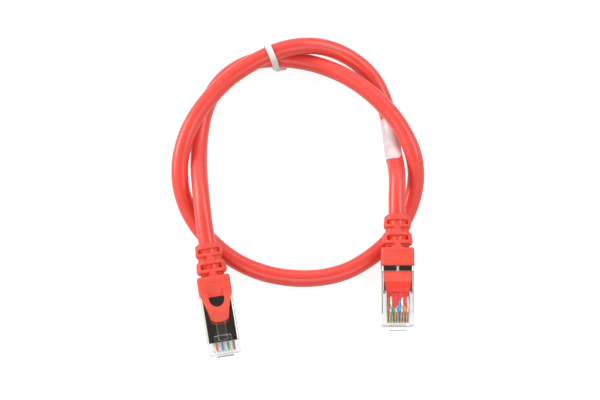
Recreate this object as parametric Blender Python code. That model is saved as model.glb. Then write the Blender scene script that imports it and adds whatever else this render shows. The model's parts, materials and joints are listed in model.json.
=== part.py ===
"""Shielded 8-position patch cable, tied in a loop and laid on a table.

Row frame: +X right, +Y from the plugs to the loop, +Z up, with the origin on the table under the
middle of the two plugs. Each plug is modelled in its own frame, whose empty stands in the middle of
the nose face: x across the plug, +y from the nose to the cable, +z out of the contact side. Sizes
are in millimetres.
"""

import math

import bmesh
import bpy
from mathutils import Matrix, Vector

MM = 0.001
FAR = 20.0  # reach of a cutter past the piece that it cuts
OVERLAP = 1.0  # how far solids that are united reach into each other

# Plug body
PLUG_WIDTH = 11.68
PLUG_HEIGHT = 6.6
PLUG_LENGTH = 21.46
NOSE_CHAMFER = 0.45
WALL_UNDER = 1.2  # plastic between the latch side and the cavity
WALL_OVER = 0.8  # plastic between the cavity and the contact side
WALL_FRONT = 1.0
SIDE_WALL = 0.5  # plastic between the shield and the cavity
FIT = 0.08  # gap between pieces that are fitted together

# Contacts and wires
CONTACTS = 8
CONTACT_PITCH = 1.016
CONTACT_THICKNESS = 0.36
CONTACT_FRONT = 0.7
CONTACT_LENGTH = 3.9
CONTACT_RECESS = 0.6
CONTACT_ROUND = 0.6  # front corner
CONTACT_CHAMFER = 0.7  # rear corner
SPRING_DEPTH = 0.75  # room for the jack's springs below the tops of the contacts
CONTACT_TEETH = 3
TOOTH_DEPTH = 0.35
SLOT_WIDTH = 0.6
WIRE_DIAMETER = 0.85
WIRE_LEVEL = 0.2
WIRE_STRAIGHT = 1.2  # how far each wire runs on straight behind its contact
WIRE_SPREAD = 0.93  # how far the wires draw together where they leave the mould

# Shield
SHEET = 0.3
SHIELD_FRONT = 4.1
SHIELD_CORNER = 0.9
BAND_LENGTH = 1.85
SEAM_WIDTH = 0.72
SIDE_DROP = 0.9  # rear part of the side walls, under the contact side
SIDE_SLOPE_START = 11.7
SIDE_SLOPE_END = -0.6
TAB_LENGTH = 1.0
TAB_REACH = 1.0
TAB_START = 11.2

# Inner mould
MOULD_FRONT = 12.0
MOULD_STEPS = ((13.95, 0.8), (15.75, 0.4))  # where each step down begins, and its depth below the top
MOULD_DRAFT = 0.15  # lean of the steps' faces
MOULD_TAPER = 0.35  # how far the front part slopes down
MOULD_NARROW = 0.2  # how much narrower each step is, on each side
MOULD_REAR = 4.9  # how far it reaches into the hood

# Latch lever
LATCH_WIDTH = 6.2
LATCH_PLATE = 0.75
LEVER_WIDTH = 3.25
LEVER_THICKNESS = 1.0
LEVER_STEP = 0.1  # how far the lever's inner side lies below the plate's
LEVER_START = 4.6
LEVER_END = 13.9
CATCH_DISTANCE = 6.4
LATCH_REST_ANGLE = 11.0
LATCH_ROOT_WIDTH = 6.0
LATCH_ROOT_REACH = 1.3
LATCH_ROOT_DEPTH = 1.0
LATCH_ROOT_DROP = 0.85
ROOT_CHAMFER = 0.35
ROOT_GROOVES = 5
GROOVE_WIDTH = 0.3
GROOVE_DEPTH = 0.25

# Boot
HOOD_WIDTH = 11.9
HOOD_OVER = 4.2
HOOD_UNDER = 5.2
HOOD_LENGTH = 6.6
HOOD_CORNER = 1.1
HOOD_DRAW = 0.3  # how much the hood draws in at its rear edge
HOOD_EDGE = 0.6  # length of that edge
PANEL_WIDTH = 8.3
PANEL_LENGTH = 3.1
PANEL_DEPTH = 0.15
PANEL_INSET = 0.9  # from the rear of the hood
RELIEF_LENGTH = 12.4
RELIEF_BASE = (11.4, 8.2)
RELIEF_TIP = (9.2, 7.7)
RELIEF_CORNER = 3.2
BEAD_RADIUS = 0.9  # rounded ends of each pair of rings, beside the notches
TIP_CHAMFER = 0.75
TIP_WALL = 0.45
SLOT_STARTS = (0.0, 2.7, 5.85, 8.6)  # behind the hood: notch, window, notch, window
SLOT_LENGTHS = (1.45, 1.8, 1.55, 1.55)
BRIDGE_WIDTH = 1.9
WINDOW_HALF = 3.8
WEB_HALF_WIDTH = 4.15
WEB_THICKNESS = 1.6

# Boot tongue
TONGUE_LENGTH = 10.5
TONGUE_THICKNESS = 1.1
TONGUE_INSET = 0.1  # root, from the side of the hood
NECK_WIDTH = 7.3
NECK_LENGTH = 7.3  # the tongue draws in over this length
NECK_CURVE = 1.3  # 1 would be a straight taper
TIP_WIDTH = 6.6
TIP_LENGTH = 1.7
TONGUE_PEAK = 3.1  # highest point, from the tip
TONGUE_PUSH = 0.6  # where the tongue presses the lever, from the tip
TONGUE_GAP = 0.25  # to the lever at that place
PEAK_GAP = 0.45  # to the end of the lever
# Its S-curve from the highest point to the root, as shares of that length and height
TONGUE_RISE = ((0.3, 0.18), (0.65, 0.6))
TONGUE_SWING = 9.9  # degrees from rest to fully pressed
WINDOW_WIDTH = 5.7
WINDOW_DEPTH = 4.0
WINDOW_STRAIGHT = 0.6
WINDOW_INSET = 1.1  # from the hood to the rear edge of the window
RAMP_WIDTH = (5.4, 6.1)  # of the scoop at its front and rear
RAMP_DEPTH = (1.35, 0.2)
RAMP_LENGTH = 4.3  # how far it runs back along the hood

# Cable, tie and label
CABLE_DIAMETER = 6.2
CABLE_CLEARANCE = 0.2
ROUTE_STEP = 1.25 * CABLE_DIAMETER
LEAST_GAP = 0.4
TIE_WIDTH = 2.3
TIE_THICKNESS = 0.5
TIE_CLEARANCE = 0.55
TIE_LEAN = 7.0  # degrees that the band stands askew of the strands
TIE_TAIL = 4.2
TAIL_REACH = 1.0  # how far the tail shows past the strand
TAIL_RAISE = 0.1
LABEL_LENGTH = 14.8
LABEL_THICKNESS = 0.17
LABEL_CLEARANCE = 0.15

# Lie of the plugs: nose position, heading of the cable from the nose, how far the nose dips, and how
# high the plug is held above the table. Plug a stands on its nose with its latch up. Plug b lies with
# its hood on a strand of the cable and its contacts up.
PLUG_A = {"nose": (-28.35, -23.68), "heading": 9.6, "dip": 9.9, "lift": 0.0, "latch_up": True}
PLUG_B = {"nose": (33.55, -14.52), "heading": 0.0, "dip": 7.0, "lift": 0.9, "latch_up": False}

# The cable's route between the two boots, chosen by hand along its middle line, from plug a to plug b
ROUTE = [
    (-36.8, 27.3, 11.9),
    (-37.5, 34.3, 11.2),
    (-38.3, 42.0, 9.2),
    (-38.6, 49.9, 6.6),
    (-38.5, 57.6, 4.7),
    (-37.5, 65.9, 3.7),
    (-35.3, 73.6, 3.2),
    (-31.4, 80.5, 3.2),
    (-25.8, 85.8, 3.3),
    (-18.7, 89.0, 3.8),
    (-11.7, 89.8, 4.35),
    (-3.1, 89.1, 4.7),
    (5.1, 86.9, 5.6),
    (13.2, 82.7, 7.6),
    (20.5, 77.4, 9.5),
    (27.4, 70.8, 10.5),
    (33.5, 63.2, 11),
    (37.9, 54.9, 11.1),
    (40.3, 47.7, 9.9),
    (40.6, 39.8, 6.6),
    (38.5, 31.9, 4.1),
    (34.7, 24.1, 3.2),
    (28.9, 16.9, 3.15),
    (22.0, 11.3, 3.15),
    (14.0, 7.0, 3.15),
    (5.3, 5.0, 3.15),
    (-3.4, 4.8, 3.15),
    (-12.1, 6.1, 3.15),
    (-20.8, 9.2, 3.15),
    (-28.5, 13.9, 3.15),
    (-35.4, 20.4, 3.15),
    (-40.6, 27.3, 3.7),
    (-44.0, 34.8, 5.2),
    (-45.5, 42.6, 7.4),
    (-44.8, 51.1, 9.6),
    (-42.4, 59.1, 10.3),
    (-38.6, 66.6, 10.4),
    (-33.4, 73.6, 10.3),
    (-27.1, 80.2, 10.3),
    (-19.7, 85.3, 10.8),
    (-12.3, 89.2, 11.2),
    (-4.6, 91.8, 11),
    (3.2, 92.9, 9.7),
    (10.6, 92.4, 7.1),
    (17.7, 89.5, 4.9),
    (23.7, 84.6, 3.8),
    (27.9, 77.8, 3.4),
    (30.4, 69.9, 3.5),
    (31.9, 61.5, 3.8),
    (32.7, 52.1, 6.8),
    (33.7, 41.8, 12),
]
TIE_AT = (-11.8, 89.2)
LABEL_AT = (31.9, 57.7)

# Steps that round shapes are divided into
BORE_SIDES = 16
CORNER_STEPS = 4
BEAD_STEPS = 3
PLAN_STEPS = 5
TONGUE_STEPS = 3  # between each two places of the tongue's middle line
ROOT_STEPS = 6  # over which the tongue thickens
CURVE_STEPS = 12  # between each two points of the cable's route
LABEL_SLICES = 12
LABEL_SIDES = 16
TIE_SIDES = 12  # round each half of the tie's loop

SHARP_ANGLE = 35  # degrees; edges above it stay hard

JACKET_RED = (0.80, 0.055, 0.035)
BOOT_RED = (0.86, 0.075, 0.045)
CLEAR = (0.90, 0.91, 0.92)
NICKEL = (0.55, 0.55, 0.56)
GOLD = (0.72, 0.50, 0.22)
WHITE = (0.86, 0.86, 0.84)
ORANGE = (0.85, 0.25, 0.03)
GREEN = (0.05, 0.33, 0.11)
BLUE = (0.05, 0.17, 0.45)
BROWN = (0.20, 0.08, 0.03)
# Position 1 to 8; the striped wires are the white ones
WIRE_COLOURS = (WHITE, ORANGE, WHITE, BLUE, WHITE, GREEN, WHITE, BROWN)

HALF_WIDTH = PLUG_WIDTH / 2
HALF_HEIGHT = PLUG_HEIGHT / 2
CABLE_RADIUS = CABLE_DIAMETER / 2
LATCH_HINGE = (LATCH_ROOT_DEPTH + FIT, -HALF_HEIGHT - FIT - LATCH_PLATE / 2)
HOOD_REAR = PLUG_LENGTH + HOOD_LENGTH
BOOT_END = HOOD_REAR + RELIEF_LENGTH
CABLE_START = PLUG_LENGTH + MOULD_REAR + CABLE_CLEARANCE
TONGUE_ROOT = PLUG_LENGTH - FIT
TONGUE_TIP = TONGUE_ROOT - TONGUE_LENGTH
WINDOW_REAR = PLUG_LENGTH - WINDOW_INSET
SHIELD_REAR = PLUG_LENGTH - FIT
CAVITY_TOP = HALF_HEIGHT - WALL_OVER
CAVITY_BOTTOM = -HALF_HEIGHT + WALL_UNDER
ROW_HALF = (CONTACTS - 1) * CONTACT_PITCH / 2
CAVITY_HALF = HALF_WIDTH - SHEET - FIT - SIDE_WALL


def clear_scene():
    for obj in list(bpy.data.objects):
        bpy.data.objects.remove(obj, do_unlink=True)


def material(name, colour, roughness, metallic=0.0, transmission=0.0):
    made = bpy.data.materials.new(name)
    made.use_nodes = True
    shader = made.node_tree.nodes["Principled BSDF"]
    shader.inputs["Base Color"].default_value = (*colour, 1.0)
    shader.inputs["Roughness"].default_value = roughness
    shader.inputs["Metallic"].default_value = metallic
    shader.inputs["Transmission Weight"].default_value = transmission
    made.diffuse_color = (*colour, 1.0)
    return made


def add_object(name, mesh, parent=None, location=(0.0, 0.0, 0.0), look=None):
    obj = bpy.data.objects.new(name, mesh)
    bpy.context.scene.collection.objects.link(obj)
    obj.parent = parent
    obj.location = Vector(location) * MM
    if look:
        obj.data.materials.append(look)
    return obj


def mesh_from(bm, name):
    bmesh.ops.recalc_face_normals(bm, faces=bm.faces)
    mesh = bpy.data.meshes.new(name)
    bm.to_mesh(mesh)
    bm.free()
    return mesh


def prism(bm, outline, direction):
    """Extrudes a flat outline, given as points in space, along a direction."""
    face = bm.faces.new([bm.verts.new(Vector(point) * MM) for point in outline])
    swept = bmesh.ops.extrude_face_region(bm, geom=[face])["geom"]
    moved = [item for item in swept if isinstance(item, bmesh.types.BMVert)]
    bmesh.ops.translate(bm, verts=moved, vec=Vector(direction) * MM)


def side_prism(bm, outline, half_width, middle=0.0):
    """A prism across the plug, from an outline of (y, z) points."""
    points = [(middle - half_width, y, z) for y, z in outline]
    prism(bm, points, (2 * half_width, 0.0, 0.0))


def plan_prism(bm, outline, low, high):
    """A prism through the plug's thickness, from an outline of (x, y) points."""
    prism(bm, [(x, y, low) for x, y in outline], (0.0, 0.0, high - low))


def section_prism(bm, outline, start, end):
    """A prism along the plug, from an outline of (x, z) points."""
    prism(bm, [(x, start, z) for x, z in outline], (0.0, end - start, 0.0))


def box(bm, x, y, z):
    section_prism(bm, [(x[0], z[0]), (x[1], z[0]), (x[1], z[1]), (x[0], z[1])], *y)


def arc(centre, radius, start, end, steps):
    angles = [start + (end - start) * i / steps for i in range(steps + 1)]
    return [(centre[0] + radius * math.cos(a), centre[1] + radius * math.sin(a)) for a in angles]


def rounded_rectangle(half_width, low, high, radius, steps=CORNER_STEPS):
    radius = min(radius, 0.98 * half_width, 0.49 * (high - low))
    corners = (
        (half_width - radius, high - radius, 0.0),
        (radius - half_width, high - radius, 0.5 * math.pi),
        (radius - half_width, low + radius, math.pi),
        (half_width - radius, low + radius, 1.5 * math.pi),
    )
    outline = []
    for x, z, turn in corners:
        outline += arc((x, z), radius, turn, turn + 0.5 * math.pi, steps)
    return outline


def skin(bm, rings, closed=False):
    """Joins each ring of vertices to the next with quads, and the last to the first if closed."""
    pairs = list(zip(rings, rings[1:])) + ([(rings[-1], rings[0])] if closed else [])
    for first, second in pairs:
        for a, b, c, d in zip(first, first[1:] + first[:1], second[1:] + second[:1], second):
            bm.faces.new((a, b, c, d))


def loft(bm, sections):
    """A closed body through (y, outline) sections, each with as many (x, z) points."""
    rings = [[bm.verts.new(Vector((x, y, z)) * MM) for x, z in outline] for y, outline in sections]
    skin(bm, rings)
    bm.faces.new(rings[0])
    bm.faces.new(rings[-1])


def hidden(name, bm, parent):
    """A cutter or a second operand, which isn't part of the cable."""
    obj = add_object(name, mesh_from(bm, name), parent)
    obj.hide_render = True
    obj.display_type = "WIRE"
    return obj


def combine(obj, other, operation):
    modifier = obj.modifiers.new(f"{operation.title()} {other.name}", "BOOLEAN")
    modifier.operation = operation
    modifier.object = other
    modifier.solver = "EXACT"


def contact_x(index):
    """Position 1 is at +x, and the last one at -x."""
    return ROW_HALF - index * CONTACT_PITCH


def plug_frame(name, lie):
    """The empty that a plug hangs from, turned to its heading and dipped at the nose."""
    frame = bpy.data.objects.new(name, None)
    bpy.context.scene.collection.objects.link(frame)
    turn = Matrix.Rotation(math.radians(lie["heading"]), 4, "Z")
    turn = turn @ Matrix.Rotation(math.radians(lie["dip"]), 4, "X")
    if lie["latch_up"]:
        turn = turn @ Matrix.Rotation(math.pi, 4, "Y")
    frame.matrix_world = Matrix.Translation(Vector((*lie["nose"], 0.0)) * MM) @ turn
    return frame


def housing(tag, frame, look):
    """Clear body: full width at the nose, and thinner by the sheet where the shield wraps it."""
    inset = SHEET + FIT
    bm = bmesh.new()
    nose_end = SHIELD_FRONT - FIT
    half, cut = HALF_WIDTH, NOSE_CHAMFER
    right = [(half - cut, 0.0), (half, cut), (half, nose_end)]
    nose = right + [(-x, y) for x, y in reversed(right)]
    plan_prism(bm, nose, -HALF_HEIGHT, HALF_HEIGHT)
    body = add_object(f"{tag}_housing", mesh_from(bm, f"{tag}_housing"), frame, look=look)

    band_start = SHIELD_REAR - BAND_LENGTH - FIT
    for part, top, start, end in (
        ("middle", HALF_HEIGHT, WALL_FRONT, band_start),
        ("rear", HALF_HEIGHT - inset, WALL_FRONT + OVERLAP, PLUG_LENGTH - FIT),
    ):
        bm = bmesh.new()
        outline = rounded_rectangle(HALF_WIDTH - inset, -HALF_HEIGHT + inset, top, SHIELD_CORNER - inset)
        section_prism(bm, outline, start, end)
        combine(body, hidden(f"{tag}_housing_{part}", bm, frame), "UNION")

    bm = bmesh.new()
    under = -HALF_HEIGHT
    root = [
        (-LATCH_ROOT_REACH, under + LATCH_ROOT_DEPTH),
        (-LATCH_ROOT_REACH, under - LATCH_ROOT_DROP + ROOT_CHAMFER),
        (-LATCH_ROOT_REACH + ROOT_CHAMFER, under - LATCH_ROOT_DROP),
        (LATCH_ROOT_DEPTH, under - LATCH_ROOT_DROP),
        (LATCH_ROOT_DEPTH, under + LATCH_ROOT_DEPTH),
    ]
    side_prism(bm, root, LATCH_ROOT_WIDTH / 2)
    combine(body, hidden(f"{tag}_housing_root", bm, frame), "UNION")

    bm = bmesh.new()
    for groove in range(ROOT_GROOVES):
        middle = (groove - (ROOT_GROOVES - 1) / 2) * LATCH_ROOT_WIDTH / (ROOT_GROOVES + 0.5)
        groove_x = (middle - GROOVE_WIDTH / 2, middle + GROOVE_WIDTH / 2)
        box(bm, groove_x, (-FAR, GROOVE_DEPTH - LATCH_ROOT_REACH), (-FAR, under + LATCH_ROOT_DEPTH / 2))
    combine(body, hidden(f"{tag}_housing_grooves", bm, frame), "DIFFERENCE")

    bm = bmesh.new()
    box(bm, (-CAVITY_HALF, CAVITY_HALF), (MOULD_FRONT - FIT, FAR + PLUG_LENGTH), (CAVITY_BOTTOM, CAVITY_TOP))
    combine(body, hidden(f"{tag}_housing_cavity", bm, frame), "DIFFERENCE")

    bm = bmesh.new()
    wire_half = ROW_HALF + WIRE_DIAMETER / 2 + FIT
    wire_z = (WIRE_LEVEL - WIRE_DIAMETER / 2 - FIT, WIRE_LEVEL + WIRE_DIAMETER / 2 + FIT)
    box(bm, (-wire_half, wire_half), (WALL_FRONT, MOULD_FRONT + OVERLAP), wire_z)
    combine(body, hidden(f"{tag}_housing_wire_channel", bm, frame), "DIFFERENCE")

    bm = bmesh.new()
    blade_end = CONTACT_FRONT + CONTACT_LENGTH + FIT
    jack_floor = HALF_HEIGHT - CONTACT_RECESS - SPRING_DEPTH
    for index in range(CONTACTS):
        middle = contact_x(index)
        slot = [
            (-FAR, FAR),
            (-FAR, jack_floor),
            (CONTACT_FRONT - FIT, jack_floor),
            (CONTACT_FRONT - FIT, WIRE_LEVEL),
            (blade_end, WIRE_LEVEL),
            (blade_end, FAR),
        ]
        side_prism(bm, slot, SLOT_WIDTH / 2, middle)
    combine(body, hidden(f"{tag}_housing_slots", bm, frame), "DIFFERENCE")

    bm = bmesh.new()
    for side in (-1, 1):
        pocket_x = sorted((side * (HALF_WIDTH - SHEET - TAB_REACH - FIT), side * FAR))
        pocket_y = (TAB_START - FIT, TAB_START + TAB_LENGTH + FIT)
        box(bm, pocket_x, pocket_y, (tab_level() - FIT, FAR))
    combine(body, hidden(f"{tag}_housing_pockets", bm, frame), "DIFFERENCE")
    return body


def tab_level():
    return HALF_HEIGHT - SIDE_DROP - 2 * SHEET


def shield(tag, frame, look):
    """Sheet folded round the latch side and both edges, closed over the contact side by a seamed band."""
    half, height, corner = HALF_WIDTH, HALF_HEIGHT, SHIELD_CORNER
    seam = SEAM_WIDTH / 2
    outer = rounded_rectangle(half, -height, height, corner)
    inner = rounded_rectangle(half - SHEET, -height + SHEET, height - SHEET, corner - SHEET)
    # Both outlines start at the right edge and turn anticlockwise: the seam lies after the first corner.
    split = CORNER_STEPS + 1
    outer = outer[split:] + outer[:split]
    inner = inner[split:] + inner[:split]
    profile = [(-seam, height)] + outer + [(seam, height), (seam, height - SHEET)]
    profile += inner[::-1] + [(-seam, height - SHEET)]
    bm = bmesh.new()
    section_prism(bm, profile, SHIELD_FRONT, SHIELD_REAR)
    shell = add_object(f"{tag}_shield", mesh_from(bm, f"{tag}_shield"), frame, look=look)

    bm = bmesh.new()
    band_start = SHIELD_REAR - BAND_LENGTH
    side_top = HALF_HEIGHT - SIDE_DROP
    side_prism(
        bm,
        [
            (-FAR, FAR),
            (-FAR, SIDE_SLOPE_END),
            (SHIELD_FRONT, SIDE_SLOPE_END),
            (SIDE_SLOPE_START, side_top),
            (band_start, side_top),
            (band_start, FAR),
        ],
        FAR,
    )
    combine(shell, hidden(f"{tag}_shield_open_top", bm, frame), "DIFFERENCE")

    bm = bmesh.new()
    for side in (-1, 1):
        tab_x = sorted((side * (HALF_WIDTH - SHEET / 2), side * (HALF_WIDTH - SHEET - TAB_REACH)))
        box(bm, tab_x, (TAB_START, TAB_START + TAB_LENGTH), (tab_level(), tab_level() + SHEET))
    combine(shell, hidden(f"{tag}_shield_tabs", bm, frame), "UNION")
    return shell


def inner_mould(tag, frame, look):
    """Stepped red block that holds the wires and the end of the jacket, and narrows with each step."""
    top = CAVITY_TOP - FIT
    bottom = CAVITY_BOTTOM + FIT
    half = CAVITY_HALF - FIT

    def section(y, drop, narrow):
        width = half - narrow
        return y, [(-width, bottom), (width, bottom), (width, top - drop), (-width, top - drop)]

    narrow = len(MOULD_STEPS) * MOULD_NARROW
    sections = [section(MOULD_FRONT, MOULD_STEPS[0][1] + MOULD_TAPER, narrow + MOULD_NARROW)]
    for (start, depth), (_, after) in zip(MOULD_STEPS, MOULD_STEPS[1:] + ((0.0, 0.0),)):
        sections.append(section(start, depth, narrow))
        narrow -= MOULD_NARROW
        sections.append(section(start + MOULD_DRAFT, after, narrow))
    sections.append(section(PLUG_LENGTH + MOULD_REAR, 0.0, 0.0))
    bm = bmesh.new()
    loft(bm, sections)
    return add_object(f"{tag}_inner_mould", mesh_from(bm, f"{tag}_inner_mould"), frame, look=look)


def contact(tag, index, frame, look):
    """Blade with a rounded front corner and teeth that bite into the wire below."""
    top = HALF_HEIGHT - CONTACT_RECESS
    tooth_tip = WIRE_LEVEL + WIRE_DIAMETER / 2 + FIT
    front, rear = CONTACT_FRONT, CONTACT_FRONT + CONTACT_LENGTH
    corner = (front + CONTACT_ROUND, top - CONTACT_ROUND)
    outline = [(front, tooth_tip + TOOTH_DEPTH)] + arc(corner, CONTACT_ROUND, math.pi, math.pi / 2, 3)
    outline += [(rear - CONTACT_CHAMFER, top), (rear, top - CONTACT_CHAMFER), (rear, tooth_tip + TOOTH_DEPTH)]
    tooth = CONTACT_LENGTH / (CONTACT_TEETH + 1)
    for number in range(CONTACT_TEETH, 0, -1):
        middle = front + number * tooth
        outline += [(middle + tooth / 4, tooth_tip + TOOTH_DEPTH), (middle, tooth_tip)]
        outline += [(middle - tooth / 4, tooth_tip + TOOTH_DEPTH)]
    bm = bmesh.new()
    side_prism(bm, outline, CONTACT_THICKNESS / 2)
    name = f"{tag}_contact_{index + 1}"
    return add_object(name, mesh_from(bm, name), frame, (contact_x(index), 0.0, 0.0), look)


def tube(name, points, diameter, sides, parent=None, look=None):
    curve = bpy.data.curves.new(name, "CURVE")
    curve.dimensions = "3D"
    spline = curve.splines.new("POLY")
    spline.points.add(len(points) - 1)
    for point, place in zip(spline.points, points):
        point.co = (*(Vector(place) * MM), 1.0)
    curve.bevel_depth = diameter / 2 * MM
    curve.bevel_resolution = sides // 2 - 2
    curve.use_fill_caps = True
    spline.use_smooth = True
    return add_object(name, curve, parent, look=look)


def wire(tag, index, frame, look):
    """One insulated wire, straight under its contact, then drawn towards the middle of the mould."""
    x = contact_x(index)
    straight = CONTACT_FRONT + CONTACT_LENGTH + WIRE_STRAIGHT
    points = [
        (x, WALL_FRONT + FIT, WIRE_LEVEL),
        (x, straight, WIRE_LEVEL),
        (x * (1 + WIRE_SPREAD) / 2, (straight + MOULD_FRONT) / 2, WIRE_LEVEL),
        (x * WIRE_SPREAD, MOULD_FRONT - FIT, WIRE_LEVEL),
    ]
    return tube(f"{tag}_wire_{index + 1}", points, WIRE_DIAMETER, 6, frame, look)


def latch_middle(y):
    """Height of the lever's middle line at rest."""
    return LATCH_HINGE[1] - (y - LATCH_HINGE[0]) * math.tan(math.radians(LATCH_REST_ANGLE))


def lever_outer(y):
    """Height of the lever's outer side at rest."""
    return latch_middle(y) + LATCH_PLATE / 2 - LEVER_STEP - LEVER_THICKNESS


def latch(tag, frame, look):
    """Wide plate from the root to the catch shoulders, and the narrow lever that goes on under the tongue."""
    hinge_y, hinge_z = LATCH_HINGE
    half = LATCH_PLATE / 2

    def beam(start, end, inner, outer):
        corners = ((start, inner), (end, inner), (end, outer), (start, outer))
        return [(y - hinge_y, latch_middle(y) - hinge_z + offset) for y, offset in corners]

    bm = bmesh.new()
    side_prism(bm, beam(hinge_y + FIT, CATCH_DISTANCE, half, -half), LATCH_WIDTH / 2)
    name = f"{tag}_latch"
    lever = add_object(name, mesh_from(bm, name), frame, (0.0, hinge_y, hinge_z), look)

    bm = bmesh.new()
    inner = half - LEVER_STEP
    outline = beam(LEVER_START, LEVER_END, inner, inner - LEVER_THICKNESS)
    side_prism(bm, outline, LEVER_WIDTH / 2)
    narrow = hidden(f"{name}_narrow", bm, frame)
    narrow.location = lever.location
    combine(lever, narrow, "UNION")
    return lever


def relief_section(distance, draw=0.0):
    """Outline of the strain relief so far behind the hood, with its sides drawn in."""
    share = distance / RELIEF_LENGTH
    width, height = (base + share * (tip - base) for base, tip in zip(RELIEF_BASE, RELIEF_TIP))
    outline = rounded_rectangle(width / 2 - draw, -height / 2, height / 2, RELIEF_CORNER)
    return HOOD_REAR + distance, outline


def relief(bm):
    """Tapered relief, whose pairs of rings have rounded ends beside each notch."""
    notches = list(zip(SLOT_STARTS, SLOT_LENGTHS))[::2]
    rounding = arc((BEAD_RADIUS, BEAD_RADIUS), BEAD_RADIUS, math.pi, 1.5 * math.pi, BEAD_STEPS)[1:]
    sections = [relief_section(-OVERLAP, BEAD_RADIUS)]
    for number, (start, length) in enumerate(notches):
        end = start + length
        if number:
            sections += [relief_section(start - past, draw) for past, draw in reversed(rounding)]
            sections.append(relief_section(start + FIT, BEAD_RADIUS))
        sections.append(relief_section(end - FIT, BEAD_RADIUS))
        sections += [relief_section(end + past, draw) for past, draw in rounding]
    bore = CABLE_RADIUS + CABLE_CLEARANCE
    tip = rounded_rectangle(bore + TIP_WALL, -bore - TIP_WALL, bore + TIP_WALL, bore)
    sections += [relief_section(RELIEF_LENGTH - TIP_CHAMFER), (BOOT_END, tip)]
    loft(bm, sections)


def relief_slots(bm):
    """Notches that leave a bridge over and under the cable, and windows that leave the sides."""
    bridge, web = BRIDGE_WIDTH / 2, WEB_THICKNESS / 2
    for number, (start, length) in enumerate(zip(SLOT_STARTS, SLOT_LENGTHS)):
        slot_y = (HOOD_REAR + start, HOOD_REAR + start + length)
        for side in (-1, 1):
            if number % 2:
                box(bm, (-WINDOW_HALF, WINDOW_HALF), slot_y, sorted((side * web, side * FAR)))
                continue
            opening = [(bridge, FAR), (FAR, FAR), (FAR, -FAR), (bridge, -FAR)]
            opening += [(bridge, -web), (WEB_HALF_WIDTH, -web), (WEB_HALF_WIDTH, web), (bridge, web)]
            section_prism(bm, [(side * x, z) for x, z in opening], *slot_y)


def boot(tag, frame, look):
    """Overmoulded hood and strain relief, hollow for the cable and for the rear of the inner mould."""
    bm = bmesh.new()
    half = HOOD_WIDTH / 2
    hood = rounded_rectangle(half, -HOOD_UNDER, HOOD_OVER, HOOD_CORNER)
    rear = rounded_rectangle(
        half - HOOD_DRAW, HOOD_DRAW - HOOD_UNDER, HOOD_OVER - HOOD_DRAW, HOOD_CORNER
    )
    loft(bm, [(PLUG_LENGTH, hood), (HOOD_REAR - HOOD_EDGE, hood), (HOOD_REAR, rear)])
    shell = add_object(f"{tag}_boot", mesh_from(bm, f"{tag}_boot"), frame, look=look)

    bm = bmesh.new()
    relief(bm)
    combine(shell, hidden(f"{tag}_boot_relief", bm, frame), "UNION")

    bm = bmesh.new()
    relief_slots(bm)
    combine(shell, hidden(f"{tag}_boot_slots", bm, frame), "DIFFERENCE")

    bm = bmesh.new()
    bore = arc((0.0, 0.0), CABLE_RADIUS + CABLE_CLEARANCE, 0.0, 2 * math.pi, BORE_SIDES)[:-1]
    section_prism(bm, bore, PLUG_LENGTH + MOULD_REAR - OVERLAP, BOOT_END + FAR)
    combine(shell, hidden(f"{tag}_boot_bore", bm, frame), "DIFFERENCE")

    bm = bmesh.new()
    pocket_end = PLUG_LENGTH + MOULD_REAR + FIT
    box(bm, (-CAVITY_HALF, CAVITY_HALF), (-FAR, pocket_end), (CAVITY_BOTTOM, CAVITY_TOP))
    combine(shell, hidden(f"{tag}_boot_pocket", bm, frame), "DIFFERENCE")

    bm = bmesh.new()
    panel_end = HOOD_REAR - PANEL_INSET
    panel_x = (-PANEL_WIDTH / 2, PANEL_WIDTH / 2)
    box(bm, panel_x, (panel_end - PANEL_LENGTH, panel_end), (HOOD_OVER - PANEL_DEPTH, FAR))
    scoop(bm)
    combine(shell, hidden(f"{tag}_boot_hollows", bm, frame), "DIFFERENCE")
    return shell


def scoop(bm):
    """The hollow that runs down the latch side of the hood into the tongue's window."""
    places = (WINDOW_REAR - WINDOW_INSET / 2, PLUG_LENGTH + RAMP_LENGTH)
    sections = []
    for y, width, depth in zip(places, RAMP_WIDTH, RAMP_DEPTH):
        half, floor = width / 2, depth - HOOD_UNDER
        sections.append((y, [(-half, -FAR), (half, -FAR), (half, floor), (-half, floor)]))
    loft(bm, sections)


def tongue_middle():
    """Middle line of the tongue in side view: it climbs over the end of the lever and levels out."""
    half = TONGUE_THICKNESS / 2
    push_y, peak_y = TONGUE_TIP + TONGUE_PUSH, TONGUE_TIP + TONGUE_PEAK
    tip = lever_outer(push_y) - TONGUE_GAP - half
    peak = lever_outer(LEVER_END) - PEAK_GAP - half
    root = (-HALF_HEIGHT - FIT - HOOD_UNDER) / 2
    rise = TONGUE_ROOT - peak_y
    places = [(TONGUE_TIP - TONGUE_PUSH, tip), (push_y, tip), (peak_y, peak)]
    places += [(peak_y + share * rise, peak + height * (root - peak)) for share, height in TONGUE_RISE]
    places.append((TONGUE_ROOT, root))
    curve = smooth_curve([Vector((0.0, y, z)) for y, z in places], TONGUE_STEPS)
    return [(point.y, point.z) for point in curve]


def tongue_profile(middle):
    """Side view of the tongue round its middle line; it thickens to the hood's edge at the root."""
    half = TONGUE_THICKNESS / 2
    root_half = (HOOD_UNDER - HALF_HEIGHT - FIT) / 2
    root_y, root_z = middle[-1]
    rounded = []
    for number, (y, z) in enumerate(middle):
        share = max(0.0, 1.0 - (len(middle) - 1 - number) / ROOT_STEPS)
        rounded.append((y - root_y, z - root_z, half + share * (root_half - half)))
    profile = [(y, z + thick) for y, z, thick in rounded]
    # The root's inner half leans back by the swing, so that it doesn't turn into the hood.
    profile[-1] = (-root_half * math.tan(math.radians(TONGUE_SWING)), root_half)
    return profile + [(0.0, 0.0)] + [(y, z - thick) for y, z, thick in reversed(rounded)]


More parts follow.
